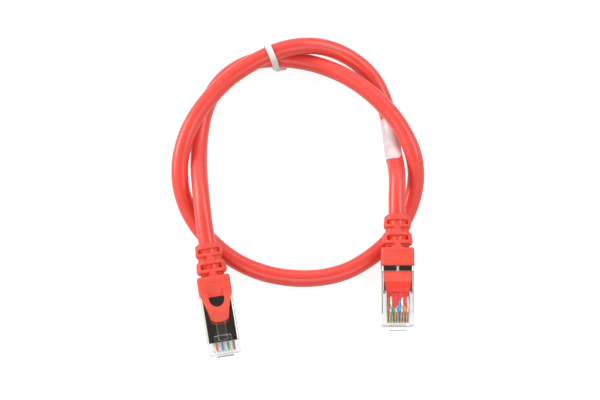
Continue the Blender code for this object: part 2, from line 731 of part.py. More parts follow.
def tongue_plan():
    """Outline of the tongue from above: it draws in from the hood to its neck and ends in a rounded tip."""
    root, neck, tip = HOOD_WIDTH / 2 - TONGUE_INSET, NECK_WIDTH / 2, TIP_WIDTH / 2
    right = [(root, OVERLAP)]
    for step in range(PLAN_STEPS):
        share = step / PLAN_STEPS
        right.append((neck + (root - neck) * (1 - share) ** NECK_CURVE, -share * NECK_LENGTH))
    right.append((neck, -NECK_LENGTH))
    for step in range(PLAN_STEPS):
        turn = step * math.pi / 2 / PLAN_STEPS
        right.append((tip * math.cos(turn), TIP_LENGTH - TONGUE_LENGTH - TIP_LENGTH * math.sin(turn)))
    return right + [(0.0, -TONGUE_LENGTH)] + [(-x, y) for x, y in reversed(right)]


def boot_tongue(tag, frame, look):
    """Curved flap over the lever, with the outline and the profile above, and a half-round window."""
    middle = tongue_middle()
    bm = bmesh.new()
    side_prism(bm, tongue_profile(middle), FAR)
    name = f"{tag}_boot_tongue"
    flap = add_object(name, mesh_from(bm, name), frame, (0.0, *middle[-1]), look)

    bm = bmesh.new()
    plan_prism(bm, tongue_plan(), -FAR, FAR)
    cutter = hidden(f"{name}_plan", bm, frame)
    cutter.location = flap.location
    combine(flap, cutter, "INTERSECT")

    bm = bmesh.new()
    half = WINDOW_WIDTH / 2
    straight = WINDOW_REAR - WINDOW_STRAIGHT
    window = [(half, WINDOW_REAR)]
    for step in range(2 * PLAN_STEPS + 1):
        turn = -math.pi * step / (2 * PLAN_STEPS)
        window.append((half * math.cos(turn), straight + (WINDOW_DEPTH - WINDOW_STRAIGHT) * math.sin(turn)))
    window.append((-half, WINDOW_REAR))
    plan_prism(bm, window, -FAR, FAR)
    combine(flap, hidden(f"{name}_window", bm, frame), "DIFFERENCE")

    bm = bmesh.new()
    scoop(bm)
    combine(flap, hidden(f"{name}_scoop", bm, frame), "DIFFERENCE")
    return flap


def lowest(objects):
    bpy.context.view_layer.update()
    graph = bpy.context.evaluated_depsgraph_get()
    heights = []
    for obj in objects:
        evaluated = obj.evaluated_get(graph)
        heights += [(evaluated.matrix_world @ vertex.co).z for vertex in evaluated.to_mesh().vertices]
        evaluated.to_mesh_clear()
    return min(heights)


def plug(tag, lie, looks):
    frame = plug_frame(f"{tag}_frame", lie)
    outside = [
        housing(tag, frame, looks["clear"]),
        latch(tag, frame, looks["clear"]),
        boot_tongue(tag, frame, looks["boot"]),
    ]
    shield(tag, frame, looks["nickel"])
    inner_mould(tag, frame, looks["boot"])
    boot(tag, frame, looks["boot"])
    for index in range(CONTACTS):
        contact(tag, index, frame, looks["gold"])
        wire(tag, index, frame, looks["wires"][index])
    frame.location.z += lie["lift"] * MM - lowest(outside)
    bpy.context.view_layer.update()
    return frame


def on_axis(frame, distance):
    """A point of the plug's middle line, in the row frame and in millimetres."""
    return frame.matrix_world @ Vector((0.0, distance * MM, 0.0)) / MM


def smooth_curve(points, steps):
    """Centripetal curve through the points, with so many steps between each two of them."""
    points = [2 * points[0] - points[1]] + points + [2 * points[-1] - points[-2]]
    curve = []
    for before, start, end, after in zip(points, points[1:], points[2:], points[3:]):
        knots = [0.0]
        for first, second in ((before, start), (start, end), (end, after)):
            knots.append(knots[-1] + math.sqrt((second - first).length))
        for step in range(steps):
            at = knots[1] + (knots[2] - knots[1]) * step / steps

            def mix(first, second, low, high):
                return first.lerp(second, (at - knots[low]) / (knots[high] - knots[low]))

            left = mix(mix(before, start, 0, 1), mix(start, end, 1, 2), 0, 2)
            right = mix(mix(start, end, 1, 2), mix(end, after, 2, 3), 1, 3)
            curve.append(mix(left, right, 1, 2))
    return curve + [points[-2]]


def spaced(curve, step):
    """Points of the curve at even distances near the step."""
    lengths = [0.0]
    for first, second in zip(curve, curve[1:]):
        lengths.append(lengths[-1] + (second - first).length)
    count = round(lengths[-1] / step)
    picked, index = [], 0
    for number in range(count + 1):
        at = lengths[-1] * number / count
        while index < len(curve) - 2 and lengths[index + 1] < at:
            index += 1
        share = (at - lengths[index]) / (lengths[index + 1] - lengths[index])
        picked.append(curve[index].lerp(curve[index + 1], share))
    return picked


def cable_line(frame_a, frame_b):
    """Middle line of the cable: straight in each boot and for one diameter past it, then the route."""
    straight = BOOT_END + CABLE_DIAMETER
    start = [on_axis(frame_a, CABLE_START), on_axis(frame_a, straight)]
    end = [on_axis(frame_b, straight), on_axis(frame_b, CABLE_START)]
    route = [(start[0] + start[1]) / 2, start[1]]
    route += [Vector(point) for point in ROUTE] + [end[0], (end[0] + end[1]) / 2]
    curve = smooth_curve(route, CURVE_STEPS)[CURVE_STEPS:-CURVE_STEPS]
    return [start[0]] + spaced(curve, ROUTE_STEP) + [end[1]]


def along(line, step=1.0):
    """The straight runs between the line's points, cut into short steps."""
    points = []
    for first, second in zip(line, line[1:]):
        count = max(1, round((second - first).length / step))
        points += [first.lerp(second, number / count) for number in range(count)]
    return points + [line[-1]]


def least_gap(line):
    """Least distance between the surfaces of two stretches of the cable."""
    points = along(line)
    apart = round(4 * CABLE_DIAMETER)
    gaps = []
    for index, point in enumerate(points):
        gaps += [(point - other).length for other in points[index + apart :]]
    return min(gaps) - CABLE_DIAMETER


def nearest(points, place):
    flat = Vector(place)
    return min(range(len(points)), key=lambda index: (points[index].xy - flat).length)


def cable_label(line, look):
    """Film wrapped round the strand that goes to plug b."""
    points = along(line)
    points = spaced(points[len(points) // 2 :], LABEL_LENGTH / LABEL_SLICES)
    middle = nearest(points, LABEL_AT)
    reach = LABEL_SLICES // 2
    path = points[middle - reach : middle + reach + 1]
    inner = CABLE_RADIUS + LABEL_CLEARANCE
    outer = inner + LABEL_THICKNESS
    bm = bmesh.new()
    rings = []
    for index, point in enumerate(path):
        ahead = path[min(index + 1, len(path) - 1)] - path[max(index - 1, 0)]
        across = ahead.cross(Vector((0.0, 0.0, 1.0))).normalized()
        up = across.cross(ahead).normalized()
        for radius in (outer, inner):
            turns = [2 * math.pi * side / LABEL_SIDES for side in range(LABEL_SIDES)]
            ring = [point + radius * (math.cos(a) * across + math.sin(a) * up) for a in turns]
            rings.append([bm.verts.new(place * MM) for place in ring])
    skin(bm, rings[0::2] + rings[1::2][::-1], closed=True)
    return add_object("cable_label", mesh_from(bm, "cable_label"), look=look)


def cable_tie(line, look):
    """Plastic band drawn round the two strands where one lies over the other, with its free end below."""
    points = along(line)
    half = len(points) // 2
    lower = nearest(points[:half], TIE_AT)
    upper = half + nearest(points[half:], TIE_AT)
    low, high = points[lower], points[upper]
    forward = (points[lower + 2] - points[lower - 2]) + (points[upper + 2] - points[upper - 2])
    forward.z = 0.0
    forward.normalize()
    across = Vector((0.0, 0.0, 1.0)).cross(forward)
    inner = CABLE_RADIUS + TIE_CLEARANCE
    lean = (high - low).dot(across)
    angle = math.atan2(high.z - low.z, lean)
    centres = ((0.0, 0.0), (lean, high.z - low.z))
    slant = math.tan(math.radians(TIE_LEAN))

    def loop(radius):
        lower = arc(centres[0], radius, angle + math.pi / 2, angle + 1.5 * math.pi, TIE_SIDES)
        upper = arc(centres[1], radius, angle - math.pi / 2, angle + math.pi / 2, TIE_SIDES)
        return lower + upper

    def place(point, shift):
        askew = shift - slant * point[0]
        return low + point[0] * across + Vector((0.0, 0.0, point[1])) + askew * forward

    bm = bmesh.new()
    prism(bm, [place(p, -TIE_WIDTH / 2) for p in loop(inner + TIE_THICKNESS)], TIE_WIDTH * forward)
    band = add_object("cable_tie", mesh_from(bm, "cable_tie"), look=look)
    bm = bmesh.new()
    tail_x = -CABLE_RADIUS - TAIL_REACH
    tail_z = (TAIL_RAISE - inner - TIE_THICKNESS, TAIL_RAISE - inner)
    tail = [(0.0, tail_z[0]), (tail_x, tail_z[0]), (tail_x, tail_z[1]), (0.0, tail_z[1])]
    prism(bm, [place(p, 0.0) for p in tail], TIE_TAIL * forward)
    combine(band, hidden("cable_tie_tail", bm, None), "UNION")
    bm = bmesh.new()
    prism(bm, [place(p, -FAR) for p in loop(inner)], 2 * FAR * forward)
    combine(band, hidden("cable_tie_hole", bm, None), "DIFFERENCE")
    return band


def shade(obj):
    """Smooth shading with the hard edges kept."""
    if obj.type == "MESH":
        obj.data.shade_smooth()
        obj.data.set_sharp_from_angle(angle=math.radians(SHARP_ANGLE))


def build():
    clear_scene()
    looks = {
        "clear": material("Clear polycarbonate", CLEAR, 0.08, transmission=0.9),
        "nickel": material("Nickel-plated sheet", NICKEL, 0.18, metallic=1.0),
        "gold": material("Gold-plated contact", GOLD, 0.25, metallic=1.0),
        "boot": material("Moulded red PVC", BOOT_RED, 0.55),
        "jacket": material("Extruded red PVC", JACKET_RED, 0.35),
        "tie": material("White tie plastic", WHITE, 0.4),
        "film": material("Clear label film", WHITE, 0.3, transmission=0.6),
        "wires": [material(f"Wire {i + 1} insulation", c, 0.5) for i, c in enumerate(WIRE_COLOURS)],
    }
    frame_a = plug("plug_a", PLUG_A, looks)
    frame_b = plug("plug_b", PLUG_B, looks)
    line = cable_line(frame_a, frame_b)
    tube("cable_jacket", line, CABLE_DIAMETER, 8, look=looks["jacket"])
    cable_tie(line, looks["tie"])
    cable_label(line, looks["film"])
    for obj in bpy.data.objects:
        shade(obj)
    gap = least_gap(line)
    length = sum((b - a).length for a, b in zip(line, line[1:]))
    print(f"cable: {length:.0f} mm long, {len(line)} points, least gap to itself {gap:.2f} mm")
    if gap < LEAST_GAP:
        print("the cable comes too close to itself")


build()
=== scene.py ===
"""Red shielded patch cable, tied in a loop on a white table and seen steeply from above.

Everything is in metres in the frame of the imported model: +X right, +Y from the plugs to the loop, +Z up from
the table. A plug's own frame has x across it, y from its nose to the cable and z out of its contact side.
"""

import json
import math

import bmesh
import bpy
from mathutils import Matrix, Vector, noise


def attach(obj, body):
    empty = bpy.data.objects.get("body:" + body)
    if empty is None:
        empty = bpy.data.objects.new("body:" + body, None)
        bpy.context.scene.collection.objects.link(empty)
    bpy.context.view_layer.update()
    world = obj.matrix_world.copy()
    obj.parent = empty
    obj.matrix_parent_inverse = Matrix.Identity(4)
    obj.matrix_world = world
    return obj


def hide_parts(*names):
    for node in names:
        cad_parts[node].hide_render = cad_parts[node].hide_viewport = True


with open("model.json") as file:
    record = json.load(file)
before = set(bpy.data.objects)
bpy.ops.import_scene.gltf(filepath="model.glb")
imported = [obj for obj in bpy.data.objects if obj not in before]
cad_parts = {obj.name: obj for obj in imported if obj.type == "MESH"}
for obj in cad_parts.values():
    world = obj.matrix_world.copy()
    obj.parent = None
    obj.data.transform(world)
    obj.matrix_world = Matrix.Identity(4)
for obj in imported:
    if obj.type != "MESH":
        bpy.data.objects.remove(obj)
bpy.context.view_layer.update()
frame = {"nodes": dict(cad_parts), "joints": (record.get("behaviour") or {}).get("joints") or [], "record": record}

MM = 0.001
MAIN_BODY = "cable_and_plugs"

# Sizes are in millimetres, and those of a plug are in its own frame, unless a comment says otherwise

# Cable and wires
CABLE_DIAMETER = 6.2
CABLE_START = 26.56  # where the jacket begins, behind the nose
BOOT_END = 40.46
CAD_STEP = 1.25 * CABLE_DIAMETER  # between the points of the CAD tube's middle line
FINE_STEP = 0.75  # between those of the tube here
CURVE_STEPS = 12  # in which a curve is drawn between two of its points
JACKET_SIDES = 40
LOBE_HEIGHT = 0.01  # of the four pairs inside, which show through the jacket
LOBE_LAY = 62.0  # along the cable for one turn of the pairs
DRAW_HEIGHT = 0.03  # of the jacket's uneven draw
DRAW_LENGTH = 7.0
CONTACT_PITCH = 1.016
WIRE_DIAMETER = 0.85
WIRE_LEVEL = 0.2
WIRE_SIDES = 16
# Along a wire: how far behind the nose, and the share of its place across the plug that it keeps there
WIRE_LINE = ((1.08, 1.0), (5.8, 1.0), (8.9, 0.965), (11.92, 0.93))
# Positions 1 to 8: name, base colour, stripe and the finish's slot
WIRES = (
    ("white with orange", "#F1EFEA", "#EE8A4A", "wire_white"),
    ("orange", "#EE8A4A", None, "wire_orange"),
    ("white with green", "#F1EFEA", "#5BAA73", "wire_white"),
    ("blue", "#5A8FC6", None, "wire_blue"),
    ("white with blue", "#F1EFEA", "#5A8FC6", "wire_white"),
    ("green", "#55A670", None, "wire_green"),
    ("white with brown", "#F1EFEA", "#9A6E58", "wire_white"),
    ("brown", "#9C6A55", None, "wire_brown"),
)

# Boots
TONGUE_ROOT = 21.42  # where a boot's tongue bends, level with the front of its hood
TONGUE_LEVEL = -3.2  # the tongue lies past this, on the latch side
TONGUE_OVERLAP = 0.4  # how far the root runs into the hood
SHARP_NEAR_ROOT = 0.9  # the moulded softness fades out this near the tongue's root
BOOT_GRID = 0.16  # of the even mesh that is softened
TONGUE_GRID = 0.1
SOFT_PASSES = 5
LINING_MIDDLE = 34.3  # of the oval lining beside the jacket in the strain relief
LINING_LENGTH = 11.4
LINING_RADII = (4.3, 3.0)
BORE_RADIUS = 3.2
BORE_LENGTH = 14.0

# Where a plug's clear body looks frosted: axis, where the haze starts and is full, and the most of it
HAZY_PLACES = (("X", 4.0, 4.25, 0.8), ("Y", 11.9, 11.6, 0.02), ("Y", 19.6, 19.75, 0.9))
BLOCK_FRONT = 11.95  # ahead of the inner block the rails are wider
RAIL_WIDENING = 1.0

# The thin flash that the inner block leaves over the wires
FLASH_ROOT = 12.1
FLASH_LEVEL = WIRE_LEVEL + 0.56
FLASH_WAVE = 0.1  # how much it rises over each wire
FLASH_THICKNESS = 0.12
# Its ragged edge: place across the plug, and how near it comes to the nose
FLASH_EDGE = (
    (-4.45, 11.2), (-4.25, 10.8), (-4.12, 7.4), (-3.9, 7.2), (-3.6, 10.0), (-2.9, 10.4),
    (-2.35, 10.5), (-2.05, 10.0), (-1.95, 6.5), (-1.3, 6.35), (-0.7, 6.5), (0.0, 7.5),
    (0.25, 8.9), (1.1, 9.0), (1.25, 10.0), (2.1, 10.1), (2.25, 6.9), (2.65, 6.7),
    (3.05, 6.9), (3.25, 10.5), (4.1, 10.6), (4.25, 9.6), (4.45, 9.6),
)

# Label: the place on the table nearest its middle, and its reach along the cable before and after it
LABEL_PLACE = (31.9, 57.7)
LABEL_REACH = (8.0, 11.0)
LABEL_ANGLES = (0.98, 5.7)  # from edge to edge round the cable, in radians
LABEL_RADII = (3.3, 3.2)  # of its two faces
LABEL_CORNER = 2.4  # radius of its rounded corners
LABEL_BOW = 1.9  # how far its last edge is bowed out on top

# Tie: the foot of its loop lies lower than TIE_FOOT_TOP, and its free end past TIE_TAIL along Y
TIE_FOOT_TOP = 0.8
TIE_TAIL = 87.3
TIE_FOOT_SHIFT = (-0.5, 0.45, 0.0)
TIE_FOOT = 81.5  # along Y
TIE_SHIFT = 1.05  # to the right at the foot, and less by these shares of the way past it and of the height
TIE_TURN = 0.045
TIE_STRAIGHTENING = 0.103

# Camera: what it looks at and how far it stands from it, in metres; its rise in degrees; lens and sensor
VIEW_MIDDLE = (-0.001566, 0.035862, 0.0)
VIEW_DISTANCE = 1.0
VIEW_RISE = 71.0
LENS = 163.5
SENSOR = 36.0

# Softboxes: place and size in metres, and power in watts
LAMP_AIM = (0.0, 0.035, 0.0)
SOFTBOXES = {
    "softbox left": ((-1.02, 0.43, 0.49), (0.9, 0.6), 10.5),
    "softbox right": ((0.72, 0.41, 0.82), (0.9, 0.4), 5.4),
    "softbox front": ((0.0, -0.74, 0.86), (1.6, 0.48), 5.2),
    "softbox back": ((0.05, 0.95, 0.75), (0.9, 0.35), 1.3),
}
FILL = 0.3  # the white room's share of the light
FLOOR_GLOW = 0.82

# Finish of the hard parts, in degrees: edges above the first are rounded, and below the second shaded smooth
ROUNDED_ABOVE = 25
SMOOTH_BELOW = 35

# The cable's route between the two boots, from plug a to plug b, in metres
ROUTE = [
    (-0.0368, 0.0273, 0.0119),
    (-0.0375, 0.0343, 0.0112),
    (-0.0383, 0.042, 0.0092),
    (-0.0386, 0.0499, 0.0066),
    (-0.0385, 0.0576, 0.0047),
    (-0.0375, 0.0659, 0.0037),
    (-0.0353, 0.0736, 0.0032),
    (-0.0314, 0.0805, 0.0032),
    (-0.0258, 0.0858, 0.0033),
    (-0.0187, 0.089, 0.0038),
    (-0.0117, 0.0898, 0.00435),
    (-0.0031, 0.0891, 0.0047),
    (0.0051, 0.0869, 0.0056),
    (0.0132, 0.0827, 0.0076),
    (0.0205, 0.0774, 0.0095),
    (0.0274, 0.0708, 0.0105),
    (0.0335, 0.0632, 0.011),
    (0.0379, 0.0549, 0.0111),
    (0.0403, 0.0477, 0.0099),
    (0.0406, 0.0398, 0.0066),
    (0.0385, 0.0319, 0.0041),
    (0.0347, 0.0241, 0.0032),
    (0.0289, 0.0169, 0.00315),
    (0.022, 0.0113, 0.00315),
    (0.014, 0.007, 0.00315),
    (0.0053, 0.005, 0.00315),
    (-0.0034, 0.0048, 0.00315),
    (-0.0121, 0.0061, 0.00315),
    (-0.0208, 0.0092, 0.00315),
    (-0.0285, 0.0139, 0.00315),
    (-0.0354, 0.0204, 0.00315),
    (-0.0406, 0.0273, 0.0037),
    (-0.044, 0.0348, 0.0052),
    (-0.0455, 0.0426, 0.0074),
    (-0.0448, 0.0511, 0.0096),
    (-0.0424, 0.0591, 0.0103),
    (-0.0386, 0.0666, 0.0104),
    (-0.0334, 0.0736, 0.0103),
    (-0.0271, 0.0802, 0.0103),
    (-0.0197, 0.0853, 0.0108),
    (-0.0123, 0.0892, 0.0112),
    (-0.0046, 0.0918, 0.011),
    (0.0032, 0.0929, 0.0097),
    (0.0106, 0.0924, 0.0071),
    (0.0177, 0.0895, 0.0049),
    (0.0237, 0.0846, 0.0038),
    (0.0279, 0.0778, 0.0034),
    (0.0304, 0.0699, 0.0035),
    (0.0319, 0.0615, 0.0038),
    (0.0327, 0.0521, 0.0068),
    (0.0337, 0.0418, 0.012),
]


def linear(hex_colour):
    """An sRGB hex value as linear red, green, blue and alpha."""
    parts = [int(hex_colour[i : i + 2], 16) / 255 for i in (1, 3, 5)]
    return tuple(c / 12.92 if c <= 0.04045 else ((c + 0.055) / 1.055) ** 2.4 for c in parts) + (1.0,)


def add(material, kind, inputs=None, **settings):
    """Adds a node with its settings; an input is given a value or the output that feeds it.

    A Mix node for colours has its factor at input 0, its colours at 6 and 7, and its result at output 2.
    """
    made = material.node_tree.nodes.new(kind)
    for name, value in settings.items():
        setattr(made, name, value)
    for name, value in (inputs or {}).items():
        if isinstance(value, bpy.types.NodeSocket):
            material.node_tree.links.new(value, made.inputs[name])
        else:
            made.inputs[name].default_value = value
    return made


def feed(material, socket, output):
    material.node_tree.links.new(output, socket)


def surface(name, **inputs):
    """A material with a Principled shader; underscores in an input's name stand for spaces."""
    made = bpy.data.materials.new(name)
    made.use_nodes = True
    shader = made.node_tree.nodes["Principled BSDF"]
    for key, value in inputs.items():
        socket = shader.inputs[key.replace("_", " ")]
        socket.default_value = linear(value) if isinstance(value, str) else value
    return made, shader


def grain(material, shader, size, height, detail=2.0):
    """Fine relief of grains `size` millimetres across and `height` millimetres high."""
    place = add(material, "ShaderNodeTexCoord")
    scale = 1 / (size * MM)
    cells = add(
        material,
        "ShaderNodeTexNoise",
        {"Vector": place.outputs["Object"], "Scale": scale, "Detail": detail},
    )
    relief = add(
        material,
        "ShaderNodeBump",
        {"Height": cells.outputs["Fac"], "Distance": height * MM, "Strength": 1.0},
    )
    feed(material, shader.inputs["Normal"], relief.outputs["Normal"])


def drifting(material, size, dark, light):
    """Slow drift between two colours over patches `size` millimetres across."""
    place = add(material, "ShaderNodeTexCoord")
    scale = 1 / (size * MM)
    patches = add(
        material,
        "ShaderNodeTexNoise",
        {"Vector": place.outputs["Object"], "Scale": scale, "Detail": 2.0},
    )
    colours = {0: patches.outputs["Fac"], 6: linear(dark), 7: linear(light)}
    return add(material, "ShaderNodeMix", colours, data_type="RGBA").outputs[2]


def jacket_pvc():
    """Extruded PVC: semi-gloss, with the faint orange peel and slow colour drift of the die."""
    made, shader = surface("Extruded PVC jacket", Roughness=0.3, IOR=1.52)
    feed(made, shader.inputs["Base Color"], drifting(made, 9.0, "#F1473B", "#F65045"))
    grain(made, shader, 0.9, 0.012)
    return made


def boot_pvc():
    """Injection-moulded soft PVC from a spark-eroded mould: satin, with a fine even grain.

    The grain is drawn a few times coarser than the real one, so that it shows.
    """
    made, shader = surface("Moulded PVC boot", Roughness=0.5, IOR=1.5)
    feed(made, shader.inputs["Base Color"], drifting(made, 5.0, "#F04C3B", "#F55642"))
    grain(made, shader, 0.22, 0.02, detail=3.0)
    return made


def plug_matrix(tag):
    """The plug's own frame, from its nose mount and its latch's hinge."""
    nose = next(m for m in frame["record"]["mounts"] if m["name"] == f"plug_{tag}_nose")
    hinge = next(j for j in frame["joints"] if j["name"] == f"latch_{tag}_press")
    x = Vector(hinge["axis"]).normalized()
    y = -Vector(nose["axis"]).normalized()
    turn = Matrix((x, y, x.cross(y))).transposed().to_4x4()
    return Matrix.Translation(nose["pos_m"]) @ turn


def on_plug(tag, x, y, z):
    """A point of the plug's own frame, in millimetres, as a place in the model."""
    return plug_matrix(tag) @ (Vector((x, y, z)) * MM)


def on_plug_coordinates(material, tag):
    """Object coordinates turned into a plug's own frame, as separate X, Y and Z in metres."""
    inside = plug_matrix(tag).inverted()
    place = add(material, "ShaderNodeTexCoord")
    turned = {
        "Vector": place.outputs["Object"],
        "Location": inside.to_translation(),
        "Rotation": inside.to_euler(),
    }
    local = add(material, "ShaderNodeMapping", turned)
    return add(material, "ShaderNodeSeparateXYZ", {"Vector": local.outputs["Vector"]})


def mould_pvc(tag):
    """Low-pressure moulded PVC block under the clear body: glossy, ribbed on its lowest step.

    Each step nearer the nose lies deeper under the body, and is painted darker there as painted shade.
    """
    made, shader = surface(f"Moulded PVC inner block {tag}", Roughness=0.28, IOR=1.5)
    split = on_plug_coordinates(made, tag)
    along = split.outputs["Y"]
    colour = drifting(made, 2.5, "#F8483A", "#FF6452")
    # Painted shade: each step nearer the nose is painted a darker red, for the shade that falls deeper under the
    # clear body
    for start, end, shade in ((15.6, 15.9, "#E83A2F"), (11.9, 12.2, "#D8231B")):
        level = {"Value": along, "From Min": start * MM, "From Max": end * MM}
        behind = add(made, "ShaderNodeMapRange", level).outputs["Result"]
        colours = {0: behind, 6: linear(shade), 7: colour}
        colour = add(made, "ShaderNodeMix", colours, data_type="RGBA").outputs[2]
    feed(made, shader.inputs["Base Color"], colour)
    rib_pitch, ribs_end, rib_height = 0.72 * MM, 13.3 * MM, 0.06 * MM
    turn = {0: split.outputs["X"], 1: 2 * math.pi / rib_pitch}
    angle = add(made, "ShaderNodeMath", turn, operation="MULTIPLY")
    ribs = add(made, "ShaderNodeMath", {0: angle.outputs[0]}, operation="COSINE")
    low = add(made, "ShaderNodeMath", {0: along, 1: ribs_end}, operation="LESS_THAN")
    height = add(made, "ShaderNodeMath", {0: ribs.outputs[0], 1: low.outputs[0]}, operation="MULTIPLY")
    relief = {"Height": height.outputs[0], "Distance": rib_height, "Strength": 1.0}
    feed(made, shader.inputs["Normal"], add(made, "ShaderNodeBump", relief).outputs["Normal"])
    return made


def clear_polycarbonate(name, haze, hazy_places=(), tag=None):
    """Injection-moulded polycarbonate: clear and glossy, slightly grey where it is seen edge on.

    A plug's body looks frosted along its side rails, over the wires and under the band, where light is
    caught between the plastic and what it holds.
    """
    made, shader = surface(f"Clear polycarbonate, {name}", Roughness=0.04, IOR=1.585)
    grain(made, shader, 2.5, 0.005)
    edge = add(made, "ShaderNodeLayerWeight", {"Blend": 0.35})
    colours = {0: edge.outputs["Facing"], 6: linear("#FBFBFB"), 7: linear("#B9ADA8")}
    greyed = add(made, "ShaderNodeMix", colours, data_type="RGBA")
    feed(made, shader.inputs["Base Color"], greyed.outputs[2])
    if hazy_places:
        feed(made, shader.inputs["Transmission Weight"], clearness(made, haze, hazy_places, tag))
    else:
        shader.inputs["Transmission Weight"].default_value = 1.0 - haze
    # Light passes the clear plastic without casting its shadow
    path = add(made, "ShaderNodeLightPath")
    shadow = {0: 1.0, 1: path.outputs["Is Shadow Ray"]}
    light_passes = add(made, "ShaderNodeMath", shadow, operation="SUBTRACT")
    feed(made, shader.inputs["Alpha"], light_passes.outputs[0])
    return made


def clearness(material, haze, hazy_places, tag):
    """1 where the plug's body is clear, and less in its hazy places."""
    split = on_plug_coordinates(material, tag)
    along = split.outputs["Y"]
    aside = add(material, "ShaderNodeMath", {0: split.outputs["X"]}, operation="ABSOLUTE")
    front = {0: along, 1: BLOCK_FRONT * MM}
    behind = add(material, "ShaderNodeMath", front, operation="GREATER_THAN")
    width = {0: behind.outputs[0], 1: RAIL_WIDENING * MM}
    narrower = add(material, "ShaderNodeMath", width, operation="MULTIPLY")
    inner = {0: aside.outputs[0], 1: narrower.outputs[0]}
    rail = add(material, "ShaderNodeMath", inner, operation="SUBTRACT")
    sources = {"X": rail.outputs[0], "Y": along}
    clear = None
    for axis, start, full, most in hazy_places:
        fading = {
            "Value": sources[axis],
            "From Min": start * MM,
            "From Max": full * MM,
            "To Min": 1.0 - haze,
            "To Max": 1.0 - most,
        }
        here = add(material, "ShaderNodeMapRange", fading).outputs[0]
        if clear is not None:
            here = add(material, "ShaderNodeMath", {0: clear, 1: here}, operation="MINIMUM").outputs[0]
        clear = here
    return clear


def nickel_plate(tag):
    """Bright nickel over rolled sheet: a dark mirror with fine rolling marks, dull where it is folded."""
    mirror, dull = 0.07, 0.55
    made, shader = surface(f"Bright nickel plate {tag}", Metallic=1.0, Roughness=mirror)
    split = on_plug_coordinates(made, tag)
    aside = add(made, "ShaderNodeMath", {0: split.outputs["X"]}, operation="ABSOLUTE")
    folded = {
        "Value": aside.outputs[0],
        "From Min": 5.2 * MM,
        "From Max": 5.4 * MM,
        "To Min": mirror,
        "To Max": dull,
    }
    feed(made, shader.inputs["Roughness"], add(made, "ShaderNodeMapRange", folded).outputs["Result"])
    place = add(made, "ShaderNodeTexCoord")
    along_y = {"Vector": place.outputs["Object"], "Scale": (1.0, 0.06, 1.0)}
    stretch = add(made, "ShaderNodeMapping", along_y)
    fine = {"Vector": stretch.outputs["Vector"], "Scale": 1 / (0.15 * MM), "Detail": 3.0}
    marks = add(made, "ShaderNodeTexNoise", fine)
    relief = {"Height": marks.outputs["Fac"], "Distance": 0.001 * MM, "Strength": 0.6}
    feed(made, shader.inputs["Normal"], add(made, "ShaderNodeBump", relief).outputs["Normal"])
    colours = {0: marks.outputs["Fac"], 6: linear("#B9B5AE"), 7: linear("#CFCBC4")}
    feed(made, shader.inputs["Base Color"], add(made, "ShaderNodeMix", colours, data_type="RGBA").outputs[2])
    return made


def gold_plate():
    """Gold flash over stamped phosphor bronze: warm, with a fine grain and a slow drift of colour."""
    made, shader = surface("Gold-plated bronze", Metallic=1.0, Roughness=0.24)
    feed(made, shader.inputs["Base Color"], drifting(made, 0.6, "#B98A45", "#D8AE62"))
    grain(made, shader, 0.15, 0.004)
    return made


def wire_insulation(name, base, stripe):
    """Extruded polyethylene: satin; a striped wire has its mate's colour in a line that winds round it."""
    made, shader = surface(f"Polyethylene insulation, {name}", Base_Color=base, Roughness=0.4, IOR=1.51)
    if stripe:
        turns_each_mm, stripe_share = 0.16, 0.22
        place = add(made, "ShaderNodeUVMap", uv_map="UVMap")
        split = add(made, "ShaderNodeSeparateXYZ", {"Vector": place.outputs["UV"]})
        lay = {0: split.outputs["Y"], 1: turns_each_mm}
        turn = add(made, "ShaderNodeMath", lay, operation="MULTIPLY")
        round_it = {0: split.outputs["X"], 1: turn.outputs[0]}
        angle = add(made, "ShaderNodeMath", round_it, operation="ADD")
        wrapped = add(made, "ShaderNodeMath", {0: angle.outputs[0]}, operation="FRACT")
        inked = {0: wrapped.outputs[0], 1: stripe_share}
        line = add(made, "ShaderNodeMath", inked, operation="LESS_THAN")
        colours = {0: line.outputs[0], 6: linear(base), 7: linear(stripe)}
        striped = add(made, "ShaderNodeMix", colours, data_type="RGBA")
        feed(made, shader.inputs["Base Color"], striped.outputs[2])
    grain(made, shader, 0.4, 0.004)
    return made


def tie_plastic():
    """Extruded polyethylene band: white, satin, with fine lines along it."""
    made, shader = surface("Extruded polyethylene tie", Roughness=0.42, IOR=1.51)
    feed(made, shader.inputs["Base Color"], drifting(made, 1.5, "#F4F4F3", "#FCFCFB"))
    place = add(made, "ShaderNodeTexCoord")
    along_band = {
        "Vector": place.outputs["Object"],
        "Rotation": (0.0, 0.0, math.radians(-16)),
        "Scale": (1.0, 0.04, 0.04),
    }
    stretch = add(made, "ShaderNodeMapping", along_band)
    lines = add(made, "ShaderNodeTexNoise", {"Vector": stretch.outputs["Vector"], "Scale": 1 / (0.5 * MM)})
    relief = {"Height": lines.outputs["Fac"], "Distance": 0.12 * MM, "Strength": 1.0}
    feed(made, shader.inputs["Normal"], add(made, "ShaderNodeBump", relief).outputs["Normal"])
    return made


def label_film():
    """Self-adhesive vinyl film: milky, so that the jacket shows through it, under a gloss coat."""
    made, shader = surface("Milky vinyl film", Roughness=0.2, IOR=1.46)
    place = add(made, "ShaderNodeTexCoord")
    patches = {"Vector": place.outputs["Object"], "Scale": 1 / (4.0 * MM), "Detail": 3.0}
    bonded = add(made, "ShaderNodeTexNoise", patches).outputs["Fac"]
    cover = {"Value": bonded, "From Min": 0.35, "From Max": 0.65, "To Min": 0.7, "To Max": 0.9}
    feed(made, shader.inputs["Alpha"], add(made, "ShaderNodeMapRange", cover).outputs["Result"])
    feed(made, shader.inputs["Base Color"], drifting(made, 3.0, "#F3DDE2", "#FAF1F3"))
    grain(made, shader, 1.6, 0.01)
    return made


def finish_piece(piece, look, body=MAIN_BODY, replaces=()):
    """Gives a piece its material, its body and the CAD nodes that it stands for."""
    piece.data.materials.clear()
    piece.data.materials.append(look)
    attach(piece, body)
    if replaces:
        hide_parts(*replaces)
    return piece


